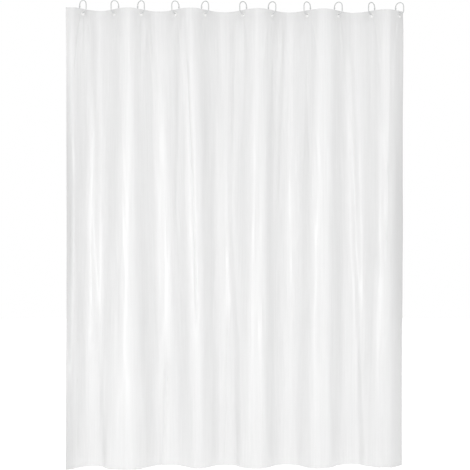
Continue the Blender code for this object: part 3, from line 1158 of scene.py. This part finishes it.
class CURTAIN_OT_rings(bpy.types.Operator):
    """Make the snap rings, each an open bar whose peg fits a socket on the leg behind the sheet"""

    bl_idname = "curtain.rings"
    bl_label = "Snap rings"

    def execute(self, context):
        settings = context.scene.curtain_rings
        material = moulded_plastic("ring_white_plastic", settings.colour, 0.26)
        tree = swept_bar_tree()
        for index, ring_x in enumerate(RING_X):
            node = numbered("ring", index)
            yaw = -settings.yaw if index % 2 == 0 else settings.yaw + math.pi
            ring = tree.make(
                numbered("snap_ring", index),
                self.guide(settings),
                sharp_degrees=50,
                parting_line=settings.parting_line,
                sides=settings.sides,
                place=(ring_x, 0.0, 0.0),
                turn=(0.0, 0.0, yaw),
                finish=material,
            )
            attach(ring, body_of_node(node))
            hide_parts(node)
        return {"FINISHED"}

    def guide(self, settings):
        """The bar's middle line, from the peg down, round the foot, up, over and down to the socket."""
        bar, socket = settings.wire_radius, settings.socket_radius
        bend = settings.width / 2 - bar
        crown = bar - bend
        foot = 3 * bar - settings.height + bend
        split = (crown + foot) / 2
        peg, bore = PEG_RADIUS, PEG_RADIUS + PEG_CLEARANCE
        shoulder, collar = split - PEG_CLEARANCE / 2, split + PEG_CLEARANCE / 2
        stations = [(-bend, split + PEG_LENGTH, peg * 0.7), (-bend, split + PEG_LENGTH - PEG_TIP, peg)]
        stations += [(-bend, shoulder + SHARP_STEP, peg), (-bend, shoulder, bar * 0.9)]
        stations += [(-bend, shoulder - SMALL_ROUND, bar)]
        for centre, start in ((foot, 180), (crown, 0)):
            stations += [(x, z, bar) for x, z in arc((0.0, centre), bend, start, start + 180, 32)]
        top = collar + SOCKET_LENGTH
        stations += [(-bend, top + SOCKET_TAPER, bar), (-bend, top + SOCKET_TAPER / 2, bar * 1.05)]
        stations += [(-bend, top, socket * 0.98), (-bend, top - PEG_TIP, socket)]
        stations += [(-bend, collar + SMALL_ROUND, socket), (-bend, collar, socket - SMALL_ROUND)]
        stations += [(-bend, collar - SHARP_STEP, bore), (-bend, collar + PEG_LENGTH + PEG_TIP, bore)]
        mesh = bpy.data.meshes.new("ring_guide")
        edges = [(step, step + 1) for step in range(len(stations) - 1)]
        mesh.from_pydata([(x, 0.0, z) for x, z, _ in stations], edges, [])
        radii = mesh.attributes.new("bar_radius", "FLOAT", "POINT")
        radii.data.foreach_set("value", [radius for _, _, radius in stations])
        return mesh


class CURTAIN_OT_stage(bpy.types.Operator):
    """Set the plain floor, the soft lights and the camera"""

    bl_idname = "curtain.stage"
    bl_label = "Stage"

    def execute(self, context):
        settings = context.scene.curtain_stage
        self.floor(settings)
        self.surroundings(context.scene, settings)
        self.lights(settings)
        self.camera(context.scene, settings)
        return {"FINISHED"}

    def floor(self, settings):
        bm = bmesh.new()
        bmesh.ops.create_circle(bm, cap_ends=True, segments=96, radius=9.0)
        bmesh.ops.translate(bm, vec=(0.0, 0.0, settings.floor_height), verts=bm.verts)
        mesh = bpy.data.meshes.new("floor")
        bm.to_mesh(mesh)
        bm.free()
        link_mesh("floor", mesh, floor_paint(settings), sharp_degrees=30)

    def surroundings(self, scene, settings):
        """White to the eye, and a gentler light on the curtain, which is least from the two sides."""
        world = bpy.data.worlds.new("studio")
        scene.world = world
        world.use_nodes = True
        nodes, links = world.node_tree.nodes, world.node_tree.links
        nodes.clear()
        seen = nodes.new("ShaderNodeBackground")
        seen.inputs["Strength"].default_value = 1.0
        seen.inputs["Color"].default_value = (1.0, 1.0, 1.0, 1.0)
        light = nodes.new("ShaderNodeBackground")
        links.new(self.side_falloff(nodes, links, settings), light.inputs["Strength"])
        light.inputs["Color"].default_value = (1.0, 1.0, 1.0, 1.0)
        path = nodes.new("ShaderNodeLightPath")
        both = nodes.new("ShaderNodeMixShader")
        out = nodes.new("ShaderNodeOutputWorld")
        links.new(path.outputs["Is Camera Ray"], both.inputs[0])
        links.new(light.outputs[0], both.inputs[1])
        links.new(seen.outputs[0], both.inputs[2])
        links.new(both.outputs[0], out.inputs["Surface"])
        scene.view_settings.view_transform = "Standard"

    def side_falloff(self, nodes, links, settings):
        """The even light's strength in each direction."""
        direction = nodes.new("ShaderNodeTexCoord").outputs["Generated"]
        split = nodes.new("ShaderNodeSeparateXYZ")
        links.new(direction, split.inputs[0])
        square = nodes.new("ShaderNodeMath")
        square.operation = "MULTIPLY"
        links.new(split.outputs["X"], square.inputs[0])
        links.new(split.outputs["X"], square.inputs[1])
        strength = nodes.new("ShaderNodeMath")
        strength.operation = "MULTIPLY_ADD"
        links.new(square.outputs[0], strength.inputs[0])
        strength.inputs[1].default_value = -settings.fill_strength * settings.side_shade
        strength.inputs[2].default_value = settings.fill_strength
        return strength.outputs[0]

    def lights(self, settings):
        self.area("key", (-0.9, -4.2, -1.2), 0.5, 2.0, settings.key_power)
        self.area("back", (-0.6, 3.6, -0.9), 2.2, 1.8, settings.key_power)

    def area(self, name, place, width, height, power):
        light = bpy.data.lights.new(name, "AREA")
        light.shape = "RECTANGLE"
        light.size, light.size_y = width, height
        light.energy = power
        obj = bpy.data.objects.new(name, light)
        bpy.context.scene.collection.objects.link(obj)
        obj.location = place
        aim = Vector((0.0, 0.0, -1.0)) - Vector(place)
        obj.rotation_euler = aim.to_track_quat("-Z", "Y").to_euler()

    def camera(self, scene, settings):
        camera = bpy.data.cameras.new("camera")
        camera.sensor_width = 36.0
        camera.lens = settings.lens
        obj = bpy.data.objects.new("camera", camera)
        scene.collection.objects.link(obj)
        side, ahead = math.sin(settings.yaw), math.cos(settings.yaw)
        aim = settings.aim
        obj.location = (aim - side * settings.distance, -ahead * settings.distance, settings.height)
        obj.rotation_euler = (math.radians(90.0), 0.0, -settings.yaw)
        scene.camera = obj


class CURTAIN_PT_pieces(bpy.types.Panel):
    """Lists the pieces of the curtain and their sizes"""

    bl_label = "Curtain"
    bl_idname = "CURTAIN_PT_pieces"
    bl_space_type = "VIEW_3D"
    bl_region_type = "UI"
    bl_category = "Curtain"

    def draw(self, context):
        layout = self.layout
        for operator, group in PANEL_ROWS:
            layout.operator(operator.bl_idname)
            settings = getattr(context.scene, group)
            for name in type(settings).__annotations__:
                layout.prop(settings, name)


GROUPS = {
    "curtain_sheet": CurtainSheetSettings,
    "curtain_eyelets": CurtainEyeletSettings,
    "curtain_rings": CurtainRingSettings,
    "curtain_stage": CurtainStageSettings,
}
PANEL_ROWS = (
    (CURTAIN_OT_sheet, "curtain_sheet"),
    (CURTAIN_OT_strips, "curtain_sheet"),
    (CURTAIN_OT_eyelets, "curtain_eyelets"),
    (CURTAIN_OT_rings, "curtain_rings"),
    (CURTAIN_OT_stage, "curtain_stage"),
)
CLASSES = (*GROUPS.values(), *(operator for operator, _ in PANEL_ROWS), CURTAIN_PT_pieces)


def register():
    for cls in CLASSES:
        bpy.utils.register_class(cls)
    for name, group in GROUPS.items():
        setattr(bpy.types.Scene, name, PointerProperty(type=group))


def unregister():
    for name in GROUPS:
        delattr(bpy.types.Scene, name)
    for cls in reversed(CLASSES):
        bpy.utils.unregister_class(cls)


def declare_sheet():
    """Makes lists of the rings that the sheet hangs on and the pieces fixed to it; nothing uses them."""
    held_by = [numbered("snap_ring", index) for index in range(RING_COUNT)]
    fixed = ["header", "foot_hem", "left_side_hem", "right_side_hem"]
    fixed += ["header_welds", "foot_welds", "left_welds", "right_welds"]
    fixed += [numbered("eyelet_barrel", index) for index in range(RING_COUNT)]
    fixed += [numbered("eyelet_washer", index) for index in range(RING_COUNT)]


def main():
    register()
    bpy.ops.curtain.sheet()
    bpy.ops.curtain.strips()
    bpy.ops.curtain.eyelets()
    bpy.ops.curtain.rings()
    bpy.ops.curtain.stage()
    declare_sheet()


if __name__ == "__main__":
    main()
